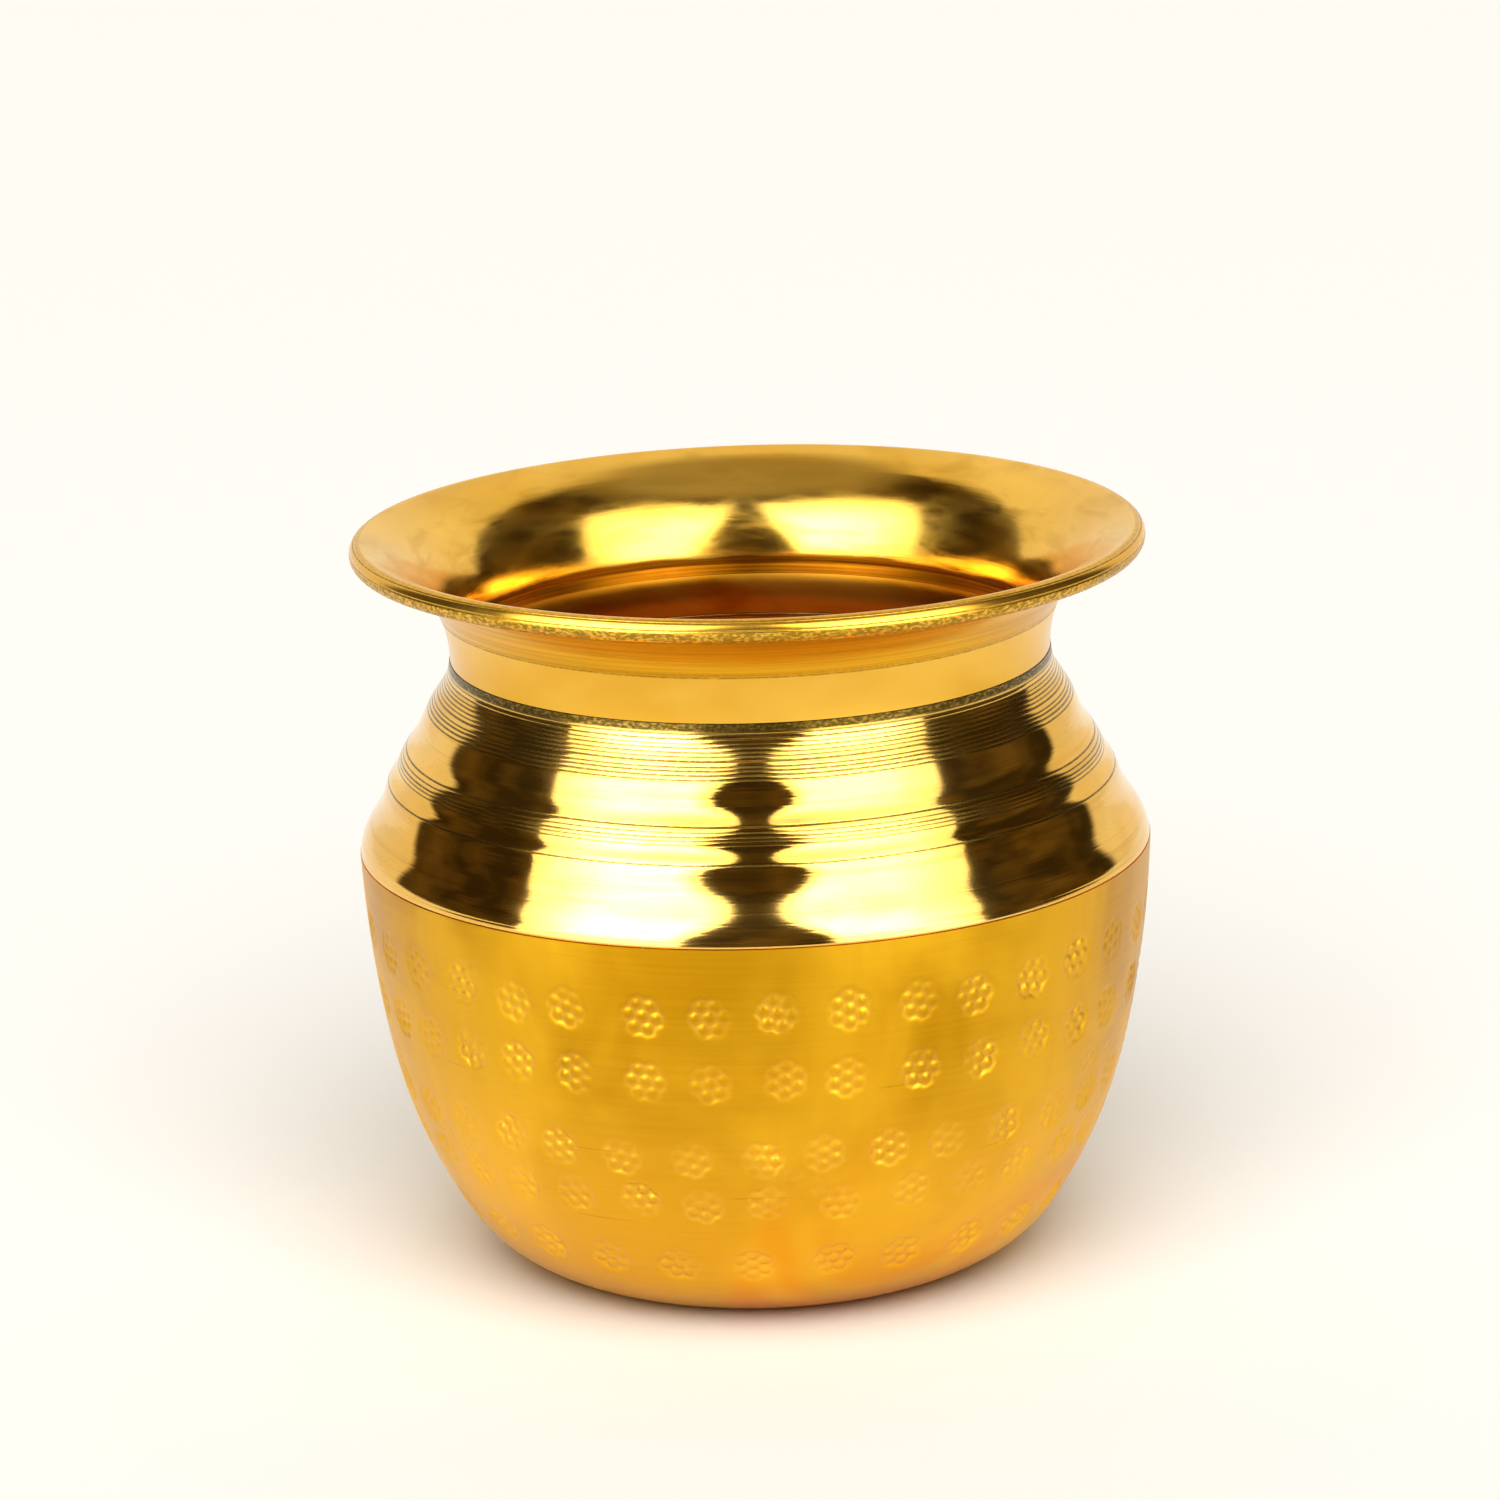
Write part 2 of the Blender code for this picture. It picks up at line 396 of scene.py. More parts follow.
def matte_brass():
    """The bowl: pickled, blotched, brushed by hand, with a few hairlines from the turning, and
    painted light towards its foot.
    """
    s = Shading("matte_brass")
    cloud = s.noise(s.stretched(38.0, 38.0, 30.0), detail=3.0, distortion=0.6)
    streak = s.noise(s.stretched(420.0, 420.0, 45.0), detail=3.0)
    blotch = s.noise(s.stretched(24.0, 24.0, 34.0), detail=2.0, distortion=1.0)
    grain = s.noise(s.stretched(1500.0, 1500.0, 1500.0), detail=2.0)
    turned = s.noise(s.stretched(30.0, 30.0, 1900.0), detail=3.0)
    colour = s.blend(s.between(cloud, 0.35, 0.65), (0.52, 0.245, 0.003), (0.72, 0.385, 0.012))
    colour = s.blend(s.between(streak, 0.35, 0.75, 0.0, 0.14), colour, (0.56, 0.245, 0.004))
    colour = s.blend(s.between(turned, 0.35, 0.65, 0.0, 0.12), colour, (0.80, 0.44, 0.02))
    # Painted light: the bowl is made paler towards its foot, against the shadowed floor that it
    # mirrors there
    painted_light_low = s.between(s.height(), 50.0 * MM, 25.0 * MM, 0.0, 0.45)
    colour = s.blend(painted_light_low, colour, (0.90, 0.50, 0.028))
    low = s.between(s.height(), 4.0 * MM, 34.0 * MM, 1.0, 0.15)
    orange = s.math("MULTIPLY", s.between(blotch, 0.55, 0.70), low)
    colour = s.blend(s.math("MULTIPLY", orange, 0.8), colour, (0.76, 0.29, 0.005))
    colour = s.blend(s.between(turned, 0.69, 0.74, 0.0, 0.35), colour, (0.34, 0.16, 0.003))
    punched = s.between(s.stored("pressed"), 0.0, 1.8)
    colour = s.blend(s.math("MULTIPLY", punched, 0.15), colour, (0.93, 0.58, 0.10))
    roughness = s.between(cloud, 0.3, 0.7, 0.34, 0.42)
    roughness = s.math("ADD", roughness, s.math("MULTIPLY", punched, 0.06))
    lines = s.bump(turned, 0.006 * MM)
    return s.finish(colour, roughness, s.bump(grain, 0.008 * MM, lines))


def polished_brass():
    """The shoulder: turned and polished bright, dark in its grooves from grime and painted shade,
    with a band of painted shade under the neck.
    """
    s = Shading("polished_brass")
    cloud = s.noise(s.stretched(45.0, 45.0, 60.0), detail=3.0, distortion=0.5)
    lines = turning_lines(s, 0.18 * MM)
    speck = s.noise(s.stretched(1300.0, 1300.0, 2600.0), detail=3.0)
    wiped = s.noise(s.stretched(14.0, 14.0, 700.0), detail=4.0)
    colour = s.blend(s.between(cloud, 0.35, 0.7), (0.86, 0.50, 0.09), (0.95, 0.60, 0.15))
    colour = s.blend(s.between(wiped, 0.50, 0.72, 0.0, 0.5), colour, (0.66, 0.35, 0.035))
    worn = s.between(speck, 0.3, 0.6, 0.75, 1.0)
    # Painted shade: a band just under the neck, where the flare overhangs, is darkened nearly to
    # black
    shade_under_neck = s.between(s.height(), NECK_SEAM - 1.5 * MM, NECK_SEAM - 1.0 * MM)
    groove = s.math("MAXIMUM", s.between(s.stored("groove"), 0.10, 0.60, 0.0, 0.92), shade_under_neck)
    # The grooves are darkened partly as grime in them and partly as painted shade; the band under
    # the neck is painted shade
    grime_and_shade = s.math("MULTIPLY", groove, worn)
    colour = s.blend(s.math("MULTIPLY", grime_and_shade, 0.97), colour, (0.045, 0.030, 0.003))
    tarnish = s.between(speck, 0.60, 0.78, 0.0, 0.4)
    colour = s.blend(tarnish, colour, (0.52, 0.28, 0.02))
    roughness = s.math("ADD", s.between(cloud, 0.3, 0.7, 0.06, 0.10), s.math("MULTIPLY", grime_and_shade, 0.2))
    fine = s.bump(lines, 0.003 * MM)
    return s.finish(colour, roughness, s.bump(speck, 0.002 * MM, fine))


def satin_brass():
    """The neck and rim: turned but not polished out, with painted shade on the flare's underside
    above its scribed line.
    """
    s = Shading("satin_brass")
    cloud = s.noise(s.stretched(35.0, 35.0, 50.0), detail=3.0, distortion=0.6)
    lines = turning_lines(s, 0.35 * MM)
    speck = s.noise(s.stretched(1400.0, 1400.0, 2200.0), detail=3.0)
    light = s.blend(s.between(cloud, 0.35, 0.65), (0.79, 0.42, 0.04), (0.87, 0.50, 0.065))
    dark = s.blend(s.between(lines, 0.4, 0.65), (0.76, 0.38, 0.012), (0.57, 0.27, 0.006))
    # Painted shade: above the scribed line, the flare's underside takes the darker colour; the bead
    # is left out
    shaded_underside = s.between(s.height(), SCRIBED_LINE - 0.1 * MM, SCRIBED_LINE + 0.1 * MM)
    bead = s.between(s.height(), TOTAL_HEIGHT - 4.2 * MM, TOTAL_HEIGHT - 3.7 * MM)
    shaded_underside = s.math("SUBTRACT", shaded_underside, bead, clamp=True)
    colour = s.blend(s.math("MULTIPLY", shaded_underside, 0.85), light, dark)
    # The scribed lines and the rim's grooves are darkened, partly as grime in them and partly as
    # painted shade
    grime_and_shade = s.math("MULTIPLY", s.stored("groove"), s.between(speck, 0.3, 0.6, 0.4, 1.0))
    colour = s.blend(s.math("MULTIPLY", grime_and_shade, 0.85), colour, (0.16, 0.09, 0.006))
    raw = s.math("MULTIPLY", s.stored("raw_edge"), s.between(speck, 0.35, 0.6))
    colour = s.blend(s.math("MULTIPLY", raw, 0.85), colour, (0.26, 0.145, 0.009))
    roughness = s.math("ADD", s.between(cloud, 0.3, 0.7, 0.17, 0.24), s.math("MULTIPLY", grime_and_shade, 0.2))
    roughness = s.math("ADD", roughness, s.math("MULTIPLY", s.stored("raw_edge"), 0.15))
    fine = s.bump(lines, 0.006 * MM)
    pits = s.math("MULTIPLY", s.stored("raw_edge"), speck)
    return s.finish(colour, roughness, s.bump(pits, 0.06 * MM, fine))


def flare_brass():
    """Inside the flare: rubbed nearly bright, and darkened by painted shade towards the throat."""
    s = Shading("flare_brass")
    cloud = s.noise(s.stretched(32.0, 32.0, 60.0), detail=3.0, distortion=0.8)
    lines = turning_lines(s, 0.3 * MM)
    scuff = s.noise(s.stretched(90.0, 90.0, 420.0), detail=4.0, distortion=0.4)
    colour = s.blend(s.between(cloud, 0.35, 0.7), (0.84, 0.48, 0.065), (0.94, 0.58, 0.11))
    # Painted shade: the flare darkens to a near-black brown towards the throat, with a wavy edge
    wavy = s.math("ADD", s.height(), s.math("MULTIPLY", cloud, 2.4 * MM))
    throat_shade = s.between(wavy, NECK_SEAM + 5.4 * MM, NECK_SEAM + 4.6 * MM)
    colour = s.blend(s.between(scuff, 0.45, 0.7, 0.0, 0.5), colour, (0.66, 0.36, 0.03))
    throat_shade_colour = s.blend(s.between(lines, 0.40, 0.60), (0.21, 0.066, 0.0015), (0.12, 0.036, 0.001))
    colour = s.blend(throat_shade, colour, throat_shade_colour)
    roughness = s.between(scuff, 0.35, 0.7, 0.12, 0.24)
    roughness = s.math("ADD", roughness, s.math("MULTIPLY", throat_shade, 0.18))
    return s.finish(colour, roughness, s.bump(scuff, 0.02 * MM, s.bump(lines, 0.006 * MM)))


def inside_brass():
    """Inside the pot: never polished, orange and brown, and darkened by painted shade just under
    the neck.
    """
    s = Shading("inside_brass")
    cloud = s.noise(s.stretched(40.0, 40.0, 90.0), detail=4.0, distortion=0.8)
    lines = turning_lines(s, 0.6 * MM)
    colour = s.blend(s.between(cloud, 0.35, 0.65), (0.66, 0.27, 0.01), (0.93, 0.47, 0.04))
    # Painted shade: inside, just under the neck, the metal is darkened
    lap_shade = s.between(s.height(), NECK_SEAM - 4.5 * MM, NECK_SEAM - 2.0 * MM, 0.0, 0.7)
    colour = s.blend(lap_shade, colour, (0.13, 0.042, 0.001))
    roughness = s.between(cloud, 0.3, 0.7, 0.26, 0.40)
    roughness = s.math("ADD", roughness, s.math("MULTIPLY", lap_shade, 0.15))
    return s.finish(colour, roughness, s.bump(lines, 0.012 * MM))


def braze_metal():
    """The fillets of braze: cast, lumpy and dull."""
    s = Shading("braze_metal")
    cloud = s.noise(s.stretched(160.0, 160.0, 160.0), detail=4.0)
    lump = s.noise(s.stretched(520.0, 520.0, 520.0), detail=4.0)
    colour = s.blend(s.between(cloud, 0.35, 0.65), (0.22, 0.10, 0.015), (0.38, 0.20, 0.04))
    return s.finish(colour, s.between(lump, 0.3, 0.7, 0.38, 0.55), s.bump(lump, 0.12 * MM))


def wire_brass():
    """Drawn wire: fine lines run along it."""
    s = Shading("wire_brass")
    drawn = s.noise(s.stretched(60.0, 60.0, 5000.0), detail=2.0)
    colour = s.blend(s.between(drawn, 0.35, 0.65), (0.72, 0.42, 0.07), (0.90, 0.56, 0.12))
    return s.finish(colour, s.between(drawn, 0.3, 0.7, 0.26, 0.36), s.bump(drawn, 0.01 * MM))


# ------------------------------------------------------------------ the bowl

FLOWER_ROWS = (  # depth below the seam, how many go round, the angle of one of them in degrees
    (10.6 * MM, 36, 2.5), (21.4 * MM, 36, 2.9), (34.4 * MM, 35, -1.2), (42.8 * MM, 33, 1.5),
    (54.3 * MM, 27, -2.0),
)
DOUBLE_STRIKE_CHANCE = (0.15, 0.12, 0.35, 0.45, 0.2)
FLOWER_RADIUS = 4.0 * MM
FLOWER_EDGE = 1.5 * MM   # how far in from its edge a flower fades out
DOT_PITCH = 2.2 * MM
DOT_RADIUS = 0.46 * DOT_PITCH
FULLY_PRESSED = 0.15 * MM  # the depth that the material takes as pressed
FRONT = -math.pi / 2

CELL = 1.08 * MM         # the bowl's plain mesh, up its side
COLUMNS = 360            # and round it
FINE = 4                 # how many times finer it is under a flower
INNER_CELL = 2.5 * MM    # its inner side, and
LIP_CELL = 1.0 * MM      # the lip that runs up inside the shoulder
FLOOR_RINGS = (1.0, 0.66, 0.33, 0.02)  # the floor's rings, as parts of its radius


class Flower:
    """One blow of the flower punch: where it fell, its turn, its tilt and its depth."""

    def __init__(self, angle, along, depth, rng):
        self.angle = angle
        self.along = along
        self.depth = depth
        self.turn = rng.uniform(0.0, math.tau)
        self.tilt = rng.uniform(0.2, 0.8)
        self.tilt_way = rng.uniform(0.0, math.tau)


def punch_flowers(side_along, side_height):
    """Every flower on the bowl, row by row, each a little off its place as if struck by eye."""
    rng = random.Random(11)
    flowers = []
    for (below, count, first), chance in zip(FLOWER_ROWS, DOUBLE_STRIKE_CHANCE):
        along = np.interp(BELLY_SEAM - below, side_height, side_along)
        for k in range(count):
            step = math.tau / count
            angle = FRONT + math.radians(first) + step * (k + rng.uniform(-0.09, 0.09))
            strength = rng.uniform(0.20, 0.32) * (1.0 + 0.5 * below / BELLY_SEAM) * MM
            up = rng.uniform(-0.5, 0.5) * MM
            flowers.append(Flower(angle, along + up, strength, rng))
            if rng.random() < chance:
                beside = rng.uniform(-0.30, 0.30) * step
                above = rng.uniform(0.8, 4.5) * MM
                flowers.append(Flower(angle + beside, along + up + above, 0.35 * strength, rng))
    return flowers


def pressed_depth(flower, x, y):
    """How deep the punch pressed the sheet at x, y from the middle of the flower.

    A cluster of round dots stands up at the sheet's own level, and the metal between them goes
    down.
    """
    turn_cos, turn_sin = math.cos(flower.turn), math.sin(flower.turn)
    u, v = x * turn_cos + y * turn_sin, y * turn_cos - x * turn_sin
    nearest = np.full_like(u, 9.0 * DOT_PITCH)
    for row in range(-2, 3):
        for k in range(-2, 3):
            if abs(row + k) > 2:
                continue
            dot_u = DOT_PITCH * (k + row / 2)
            dot_v = DOT_PITCH * row * math.sqrt(3) / 2
            nearest = np.minimum(nearest, np.hypot(u - dot_u, v - dot_v))
    dome = np.clip(1.0 - (nearest / DOT_RADIUS) ** 2, 0.0, 1.0)
    away = np.hypot(x, y)
    edge = np.clip((FLOWER_RADIUS - away) / FLOWER_EDGE, 0.0, 1.0)
    edge = edge * edge * (3.0 - 2.0 * edge)
    lean = (x * math.cos(flower.tilt_way) + y * math.sin(flower.tilt_way)) / FLOWER_RADIUS
    press = np.clip(1.0 + flower.tilt * lean, 0.0, None)
    return flower.depth * edge * press * (1.0 - dome)


def press_flowers(flowers, path, along, angle):
    """How deep each point of the fine mesh is pressed, and which cells lie under a flower."""
    pressed = np.zeros((len(path), len(angle)))
    rows = (len(path) - 1) // FINE
    flagged = np.zeros((rows, COLUMNS), bool)
    for flower in flowers:
        near = np.nonzero(np.abs(along - flower.along) < FLOWER_RADIUS)[0]
        turn = (angle - flower.angle + math.pi) % math.tau - math.pi
        radius = np.interp(flower.along, along, path[:, 0])
        beside = np.nonzero(np.abs(turn) * radius < FLOWER_RADIUS)[0]
        x = turn[beside][None, :] * path[near, 0][:, None]
        y = (along[near] - flower.along)[:, None] + 0.0 * x
        depth = pressed_depth(flower, x, y)
        block = np.ix_(near, beside)
        pressed[block] = np.maximum(pressed[block], depth)
        cell_rows, cell_columns = np.nonzero(np.hypot(x, y) < FLOWER_RADIUS)
        fine_rows, fine_beside = near[cell_rows], beside[cell_columns]
        for down in (0, 1):
            for back in (0, 1):
                cell_row = np.clip((fine_rows - down) // FINE, 0, rows - 1)
                flagged[cell_row, ((fine_beside - back) // FINE) % COLUMNS] = True
    return pressed, flagged


def cell_faces(flagged):
    """The faces of the bowl's side, numbered by the points of the fine mesh.

    A cell under a flower is cut up finely. A plain cell takes in its fine neighbours' corners.
    """
    rows, fine_columns = len(flagged), COLUMNS * FINE
    faces = []
    for row in range(rows):
        for column in range(COLUMNS):
            low, left = row * FINE, column * FINE
            if flagged[row, column]:
                for i in range(low, low + FINE):
                    for k in range(left, left + FINE):
                        beside = (k + 1) % fine_columns
                        faces.append([i * fine_columns + k, i * fine_columns + beside,
                                      (i + 1) * fine_columns + beside, (i + 1) * fine_columns + k])
                continue
            right = (left + FINE) % fine_columns
            high = low + FINE
            edge = [(low, left)]
            if row and flagged[row - 1, column]:
                edge += [(low, left + n) for n in range(1, FINE)]
            edge.append((low, right))
            if flagged[row, (column + 1) % COLUMNS]:
                edge += [(low + n, right) for n in range(1, FINE)]
            edge.append((high, right))
            if row + 1 < rows and flagged[row + 1, column]:
                edge += [(high, left + FINE - n) for n in range(1, FINE)]
            edge.append((high, left))
            if flagged[row, column - 1]:
                edge += [(high - n, left) for n in range(1, FINE)]
            faces.append([i * fine_columns + k for i, k in edge])
    return faces


def bowl_outer():
    """The bowl's outer side as a mesh that is finer under the flowers.

    Gives its points, its faces and how far each point was pressed.
    """
    path = resample(bowl_side(0.0), CELL / FINE)
    rows = (len(path) - 1) // FINE
    path = resample(bowl_side(0.0), CELL / FINE * (len(path) - 1) / (rows * FINE))
    path = path[:rows * FINE + 1]
    along = np.concatenate([[0.0], np.cumsum(np.hypot(*np.diff(path, axis=0).T))])
    flowers = punch_flowers(along, path[:, 1])
    angle = np.arange(COLUMNS * FINE) * math.tau / (COLUMNS * FINE)
    pressed, flagged = press_flowers(flowers, path, along, angle)
    faces = cell_faces(flagged)

    tangent = np.gradient(path, axis=0)
    tangent /= np.hypot(*tangent.T)[:, None]
    uneven = 0.05 * MM * np.sin(3 * angle + 0.7)[None, :] * np.sin(along / (9 * MM))[:, None]
    out = uneven - pressed
    radius = path[:, :1] + tangent[:, 1:] * out
    height = path[:, 1:] - tangent[:, :1] * out
    points = turned(radius, angle, height)
    used = np.unique(np.concatenate([np.array(f) for f in faces]))
    renumber = np.zeros(len(points), int)
    renumber[used] = np.arange(len(used))
    faces = [renumber[f].tolist() for f in faces]
    return points[used], faces, (pressed / FULLY_PRESSED).ravel()[used]


def make_bowl():
    points, faces, pressed = bowl_outer()
    inner = resample(bowl_side(SHEET), INNER_CELL)[::-1]
    lip_low, lip_high = BELLY_SEAM + GAP, BELLY_SEAM + LAP
    lip_out = shoulder_side(SHEET + GAP, lip_low, lip_high, LIP_CELL, smooth=LAP_SMOOTHING)
    lip_in = shoulder_side(2 * SHEET + GAP, lip_low, lip_high, LIP_CELL, smooth=LAP_SMOOTHING)[::-1]
    seam = BELLY_SEAM - TIGHT
    top = bowl_side(0.0)[-1]
    rest = np.vstack([[top], [[lip_out[0][0], seam]], lip_out, lip_in, inner[1:]])
    floor_out = np.array([(BASE_RADIUS * part, 0.0) for part in FLOOR_RINGS])
    floor_in = np.array([(BASE_RADIUS * part, SHEET) for part in FLOOR_RINGS])
    start = len(points)
    all_points, all_faces, inside = [points], list(faces), [0] * len(faces)
    for path, is_inside in ((rest, 1), (floor_in, 1), (floor_out, 0)):
        ring_points = lathe_points(path, COLUMNS)
        ring_faces = lathe_faces(len(path), COLUMNS, closed=False) + start
        all_points.append(ring_points)
        all_faces += ring_faces.tolist()
        inside += [is_inside] * len(ring_faces)
        if path is not rest:
            cap = start + (len(path) - 1) * COLUMNS
            all_faces.append(list(range(cap, cap + COLUMNS)))
            inside.append(is_inside)
        start += len(ring_points)
    every = np.vstack(all_points)
    marks = np.concatenate([pressed, np.zeros(len(every) - len(pressed))])
    bowl = make_object("bowl_shell", every, all_faces, [matte_brass(), inside_brass()],
                       inside, {"pressed": marks})
    stand_for(bowl, "bowl")


# ------------------------------------------------------------------ the shoulder

SHOULDER_COLUMNS = 320
SHOULDER_CELL = 0.11 * MM
SHOULDER_INNER_CELL = 1.2 * MM

# Turning grooves: how far above the seam each band starts, its pitch, how many, their width
FINE_BANDS = ((22.9 * MM, 0.62 * MM, 11, 0.30 * MM), (14.1 * MM, 0.62 * MM, 5, 0.30 * MM))
LONE_GROOVE = (11.5 * MM, 0.30 * MM)
FAINT_BAND = (1.0 * MM, 1.3 * MM, 23, 0.25 * MM)
GROOVE_DEPTH = 0.035 * MM
EDGE_HEIGHT = 0.35 * MM  # the shoulder's lower edge is rounded off over this height,
EDGE_DEPTH = 0.25 * MM   # and this far in


def make_shoulder():
    rng = random.Random(5)
    outer = shoulder_side(0.0, BELLY_SEAM, NECK_SEAM, SHOULDER_CELL)
    above = outer[:, 1] - BELLY_SEAM
    groove = np.maximum.reduce([
        *(turning_grooves(above, *band, rng) for band in FINE_BANDS),
        notch(np.abs(above - LONE_GROOVE[0]), LONE_GROOVE[1]),
        0.25 * turning_grooves(above, *FAINT_BAND, rng),
    ])
    outer[:, 0] -= GROOVE_DEPTH * groove
    edge = np.clip(1.0 - above / EDGE_HEIGHT, 0.0, 1.0)
    outer[:, 0] -= EDGE_DEPTH * (1.0 - np.sqrt(1.0 - edge ** 2))
    inner = shoulder_side(SHEET, BELLY_SEAM + 0.4 * MM, NECK_SEAM, SHOULDER_INNER_CELL,
                          smooth=LAP_SMOOTHING)
    inner[-1, 1] = NECK_SEAM
    inner = np.vstack([[inner[0][0], BELLY_SEAM], inner])[::-1]
    path = np.vstack([outer, inner])

    def move(angle, radius, height):
        """The handmade unevenness: the swells are fuller on one side than on the other."""
        t = np.clip((height - BELLY_SEAM) / (NECK_SEAM - BELLY_SEAM), 0.0, 1.0)
        bulge = np.sin(math.pi * t)
        shift = -0.25 * MM * bulge * np.cos(angle) + 0.06 * MM * bulge * np.sin(3 * angle + 9 * t)
        return shift, 0.0 * radius

    faces = lathe_faces(len(path), SHOULDER_COLUMNS, closed=True)
    inside = (faces[:, 0] // SHOULDER_COLUMNS >= len(outer)).astype(int)
    marks = np.repeat(np.concatenate([groove, np.zeros(len(inner))]), SHOULDER_COLUMNS)
    shoulder = make_object("shoulder_shell", lathe_points(path, SHOULDER_COLUMNS, move), faces,
                           [polished_brass(), inside_brass()], inside, {"groove": marks})
    stand_for(shoulder, "shoulder")


# ------------------------------------------------------------------ the neck and its rim

NECK_COLUMNS = 288
SCRIBED_LINE = NECK_SEAM + 7.5 * MM
SECOND_LINE = 0.5 * MM   # a fainter line runs this far above it
RIM_GROOVES = ((52, 9), (10, 8))  # where they are round the curl's oval and how wide, in degrees
RIM_GROOVE_DEPTH = 0.05 * MM


def make_neck():
    skirt_low, skirt_high = NECK_SEAM - LAP, NECK_SEAM - GAP
    skirt_out = shoulder_side(SHEET + GAP, skirt_low, skirt_high, LIP_CELL, smooth=LAP_SMOOTHING)
    skirt_in = shoulder_side(2 * SHEET + GAP, skirt_low, skirt_high, LIP_CELL, smooth=LAP_SMOOTHING)
    foot = [[skirt_out[-1][0], NECK_SEAM + TIGHT]]
    step = [[skirt_in[-1][0], NECK_SEAM + GAP + 0.8 * MM]]
    flare_out = np.vstack([[[THROAT_RADIUS, NECK_SEAM + TIGHT]], flare(0.0, 100)[1:-1]])
    flare_in = flare(SHEET, 80)[7:-1]  # without its lowest points, where the step stands
    curl_in, curl_out = curl(SHEET, 30), curl(0.0, 130)
    outside = np.vstack([skirt_out, foot, flare_out, curl_in])
    inside = np.vstack([skirt_in, step, flare_in])
    path = np.vstack([outside, curl_out[::-1], inside[::-1]])

    groove = np.zeros(len(path))
    visible = np.zeros(len(path), bool)
    flare_start = len(skirt_out) + 1
    visible[flare_start:flare_start + len(flare_out)] = True
    height = path[:, 1]
    scribed = np.maximum(notch(np.abs(height - SCRIBED_LINE), 0.3 * MM),
                         0.6 * notch(np.abs(height - SCRIBED_LINE - SECOND_LINE), 0.25 * MM))
    groove[visible] = scribed[visible]
    rim_start = len(outside)
    rim = slice(rim_start, rim_start + len(curl_out))
    around = np.linspace(CURL_END, CURL_START, len(curl_out))
    groove[rim] = np.maximum.reduce([
        notch(np.abs(around - math.radians(middle)), math.radians(width))
        for middle, width in RIM_GROOVES
    ])
    tangent = np.gradient(path, axis=0)
    tangent /= np.maximum(np.hypot(*tangent.T), 1e-12)[:, None]
    normal = np.column_stack([tangent[:, 1], -tangent[:, 0]])
    path = path - normal * RIM_GROOVE_DEPTH * groove[:, None]

    # The sheet's edge was left rough, and the top of the bead is a little worn
    raw_edge = np.zeros(len(path))
    raw_edge[rim] = np.clip((math.radians(4) - around) / math.radians(6), 0.0, 1.0)
    top = np.clip(1.0 - np.abs(around - math.radians(72)) / math.radians(22), 0.0, 1.0)
    raw_edge[rim] = np.maximum(raw_edge[rim], 0.45 * top)

    def move(angle, radius, height):
        """The rim runs slightly out of true, as a spun rim does."""
        t = np.clip((height - NECK_SEAM) / (TOTAL_HEIGHT - NECK_SEAM), 0.0, 1.0)
        oval, dip = np.sin(2 * angle + 0.9) - 1.0, np.sin(2 * angle) - 1.0
        return 0.12 * MM * t * oval, 0.15 * MM * t * dip

    faces = lathe_faces(len(path), NECK_COLUMNS, closed=True)
    row = faces[:, 0] // NECK_COLUMNS
    rim_inside = rim_start + int(len(curl_out) * 0.93)
    kind = np.where(row >= rim_inside, 1, 0)
    kind[row >= len(path) - len(skirt_in) - 1] = 2
    marks = {"groove": groove, "raw_edge": raw_edge}
    marks = {key: np.repeat(values, NECK_COLUMNS) for key, values in marks.items()}
    neck = make_object("neck_shell", lathe_points(path, NECK_COLUMNS, move), faces,
                       [satin_brass(), flare_brass(), inside_brass()], kind, marks)
    stand_for(neck, "neck")


# ------------------------------------------------------------------ the wire and the braze

RING_COLUMNS = 240


def ring(name, radius, height, half, sides, material, lumps=0.0):
    """A ring of round section; lumps makes its section uneven."""
    around = np.linspace(0.0, math.tau, sides, endpoint=False)
    path = np.column_stack([radius + half * np.cos(around), height + half * np.sin(around)])

    def move(angle, r, z):
        waves = np.sin(7 * angle) + np.sin(17 * angle + 1.0) + np.sin(41 * angle + 2.0)
        swell = lumps * waves / 3
        return swell * (r - radius), swell * (z - height)

    return make_object(name, lathe_points(path, RING_COLUMNS, move),
                       lathe_faces(sides, RING_COLUMNS, closed=True), [material])


def make_wire():
    wire = ring("rim_wire_ring", CURL_RADIUS, CURL_HEIGHT, WIRE_RADIUS, 14, wire_brass())
    stand_for(wire, "rim_wire")


FILLET_SIZE = 0.38       # its half width, as a part of the joint's height
FILLET_GAP = 0.15 * MM


def make_fillets():
    metal = braze_metal()
    for node in ("belly_braze", "neck_braze"):
        low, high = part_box(node)
        half = (high.z - low.z) * FILLET_SIZE
        radius, height = high.x - half - FILLET_GAP, (low.z + high.z) / 2
        fillet = ring(node + "_fillet", radius, height, half, 12, metal, lumps=0.3)
        stand_for(fillet, node)


# ------------------------------------------------------------------ the studio

SOFTBOX_DISTANCE = 1.35
# Each softbox's corners: degrees to the right of the camera and degrees up, seen from the pot
LEFT_SOFTBOX = (
    (-22.0, -3.0), (-19.5, 12.0), (-16.0, 22.0), (-14.0, 30.0), (-9.7, 42.0), (-7.7, 51.0),
    (-7.0, 60.0), (-20.0, 59.0), (-60.0, 59.0), (-86.0, 51.0), (-76.0, 31.0), (-69.0, 10.0),
    (-71.0, -3.0),
)
RIGHT_SOFTBOX = (
    (22.0, -3.0), (19.5, 12.0), (16.0, 22.0), (14.0, 30.0), (9.7, 42.0), (7.7, 51.0),
    (7.0, 60.0), (20.0, 59.0), (58.0, 59.0), (80.0, 49.0), (71.0, 31.0), (65.0, 10.0),
    (66.0, -3.0),
)
LEFT_HOTTEST, LEFT_STRENGTH = (-30.0, 24.0), 8.0
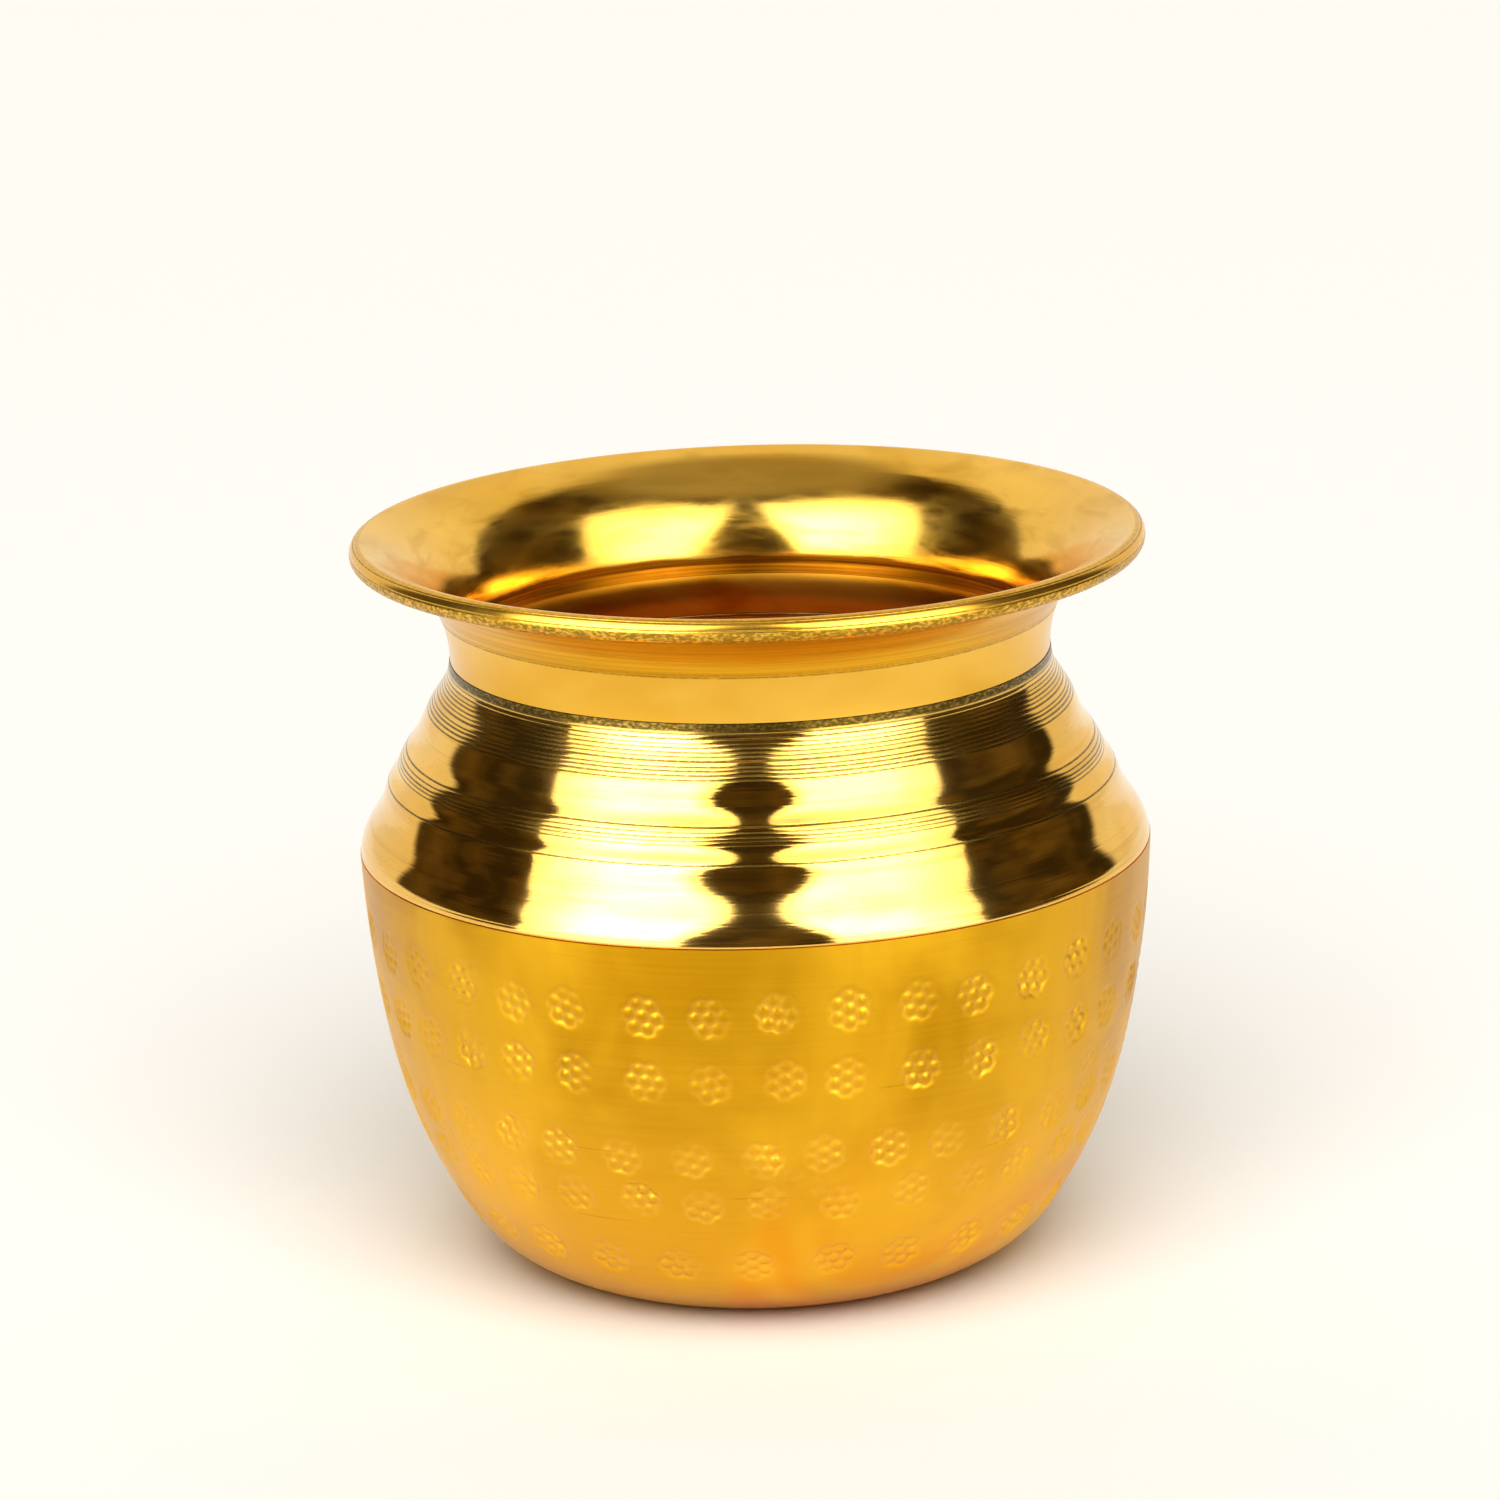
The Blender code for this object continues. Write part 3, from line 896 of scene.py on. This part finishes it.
RIGHT_HOTTEST, RIGHT_STRENGTH = (26.0, 24.0), 7.2

# The room's blurred things, each a place in the noise and a colour there
CLUTTER_DARK = (0.40, (0.035, 0.024, 0.010, 1.0))
CLUTTER_LIGHT = (0.70, (0.130, 0.085, 0.030, 1.0))
# The white walls start this far round from the camera, and the ceiling this far up, in degrees
WALL_START = (123, 127)
CEILING_START = (58, 72)
WALL_WHITE = 0.88
WALL_TINT = (1.0, 0.93, 0.74)
CEILING = 0.31
FLOOR_RADIUS = 3.0
FLOOR_LIGHT_ENERGY = 3.7
FLOOR_LIGHT_SPREAD = math.radians(60.0)
FLOOR_LIGHT_TILT = math.radians(38.0)


def plain_material(name, colour, roughness):
    material = bpy.data.materials.new(name)
    material.use_nodes = True
    shader = material.node_tree.nodes["Principled BSDF"]
    shader.inputs["Base Color"].default_value = (*colour, 1.0)
    shader.inputs["Roughness"].default_value = roughness
    return material


def make_floor():
    mesh = bpy.data.meshes.new("floor")
    work = bmesh.new()
    bmesh.ops.create_circle(work, cap_ends=True, segments=96, radius=FLOOR_RADIUS)
    work.to_mesh(mesh)
    work.free()
    mesh.materials.append(plain_material("pale_floor", (0.80, 0.80, 0.80), 0.9))
    floor = bpy.data.objects.new("floor", mesh)
    bpy.context.scene.collection.objects.link(floor)


def make_softbox(name, corners, hottest, strength):
    """A soft light that only shows in the brass, fading away from its hottest place."""
    points = []
    for azimuth, elevation in (*corners, hottest):
        a, e = math.radians(azimuth), math.radians(elevation)
        away = Vector((math.sin(a) * math.cos(e), -math.cos(a) * math.cos(e), math.sin(e)))
        points.append(Vector((0.0, 0.0, BELLY_SEAM)) + away * SOFTBOX_DISTANCE)
    count = len(corners)
    mesh = bpy.data.meshes.new(name)
    mesh.from_pydata(points, [], [(k, (k + 1) % count, count) for k in range(count)])
    glow = mesh.attributes.new("glow", "FLOAT", "POINT")
    glow.data.foreach_set("value", [0.0] * count + [1.0])
    s = Shading(name)
    s.tree.nodes.remove(s.shader)
    emission = s.add("ShaderNodeEmission")
    fade = s.between(s.stored("glow"), 0.0, 0.7, 0.25 * strength, strength)
    s.put(emission.inputs["Strength"], fade)
    s.put(s.tree.nodes["Material Output"].inputs["Surface"], emission.outputs[0])
    mesh.materials.append(s.material)
    card = bpy.data.objects.new(name, mesh)
    card.visible_camera = card.visible_diffuse = card.visible_shadow = False
    bpy.context.scene.collection.objects.link(card)


def make_floor_light():
    """Broad light from above that falls on the floor and leaves the brass's reflections alone."""
    light = bpy.data.lights.new("floor_light", "SUN")
    light.energy = FLOOR_LIGHT_ENERGY
    light.angle = FLOOR_LIGHT_SPREAD
    lamp = bpy.data.objects.new("floor_light", light)
    lamp.rotation_euler = (FLOOR_LIGHT_TILT, 0.0, 0.0)
    lamp.visible_glossy = False
    bpy.context.scene.collection.objects.link(lamp)


def make_room():
    """The room that the brass mirrors: dark in front, with white walls at the sides and behind.

    The camera itself sees plain white.
    """
    world = bpy.data.worlds.new("studio")
    bpy.context.scene.world = world
    world.use_nodes = True
    world.node_tree.nodes.clear()
    n = Nodes(world.node_tree)
    towards = n.add("ShaderNodeTexCoord").outputs["Generated"]
    direction = n.add("ShaderNodeSeparateXYZ")
    n.put(direction.inputs[0], towards)
    x, y, z = direction.outputs
    azimuth = n.math("ABSOLUTE", n.math("ARCTAN2", x, n.math("MULTIPLY", y, -1.0)))
    wall = n.between(azimuth, *map(math.radians, WALL_START), 0.0, WALL_WHITE)
    overhead = n.between(z, *(math.sin(math.radians(up)) for up in CEILING_START))
    keep = n.math("SUBTRACT", 1.0, overhead)
    white = n.math("ADD", n.math("MULTIPLY", wall, keep), n.math("MULTIPLY", overhead, CEILING))
    clutter = n.add("ShaderNodeTexNoise")
    n.put(clutter.inputs["Scale"], 3.5)
    n.put(clutter.inputs["Vector"], towards)
    things = n.add("ShaderNodeValToRGB")
    for stop, (place, colour) in zip(things.color_ramp.elements, (CLUTTER_DARK, CLUTTER_LIGHT)):
        stop.position, stop.color = place, colour
    n.put(things.inputs["Fac"], clutter.outputs["Fac"])
    room = n.vector("ADD", things.outputs["Color"], n.vector("MULTIPLY", white, WALL_TINT))
    camera_ray = n.add("ShaderNodeLightPath").outputs["Is Camera Ray"]
    background = n.add("ShaderNodeBackground")
    n.put(background.inputs["Color"], n.blend(camera_ray, room, (1.0, 1.0, 1.0)))
    n.put(n.add("ShaderNodeOutputWorld").inputs["Surface"], background.outputs[0])


def make_camera():
    data = bpy.data.cameras.new("camera")
    data.lens = VIEW_LENS
    data.sensor_width = 36.0
    data.clip_start = 0.05
    camera = bpy.data.objects.new("camera", data)
    bpy.context.scene.collection.objects.link(camera)
    back = Vector((0.0, -math.cos(VIEW_ELEVATION), math.sin(VIEW_ELEVATION)))
    camera.location = Vector((0.0, 0.0, BELLY_SEAM)) + back * VIEW_DISTANCE
    aim = (-back).to_track_quat("-Z", "Y").to_matrix()
    for turn, axis in ((-VIEW_ROLL, "Z"), (VIEW_RIGHT, "Y"), (VIEW_DOWN, "X")):
        aim = aim @ Matrix.Rotation(turn, 3, axis)
    camera.rotation_euler = aim.to_euler()
    bpy.context.scene.camera = camera


def make_studio():
    make_floor()
    make_room()
    make_softbox("left_softbox", LEFT_SOFTBOX, LEFT_HOTTEST, LEFT_STRENGTH)
    make_softbox("right_softbox", RIGHT_SOFTBOX, RIGHT_HOTTEST, RIGHT_STRENGTH)
    make_floor_light()
    make_camera()
    bpy.context.scene.view_settings.view_transform = "Standard"


make_bowl()
make_shoulder()
make_neck()
make_wire()
make_fillets()
make_studio()
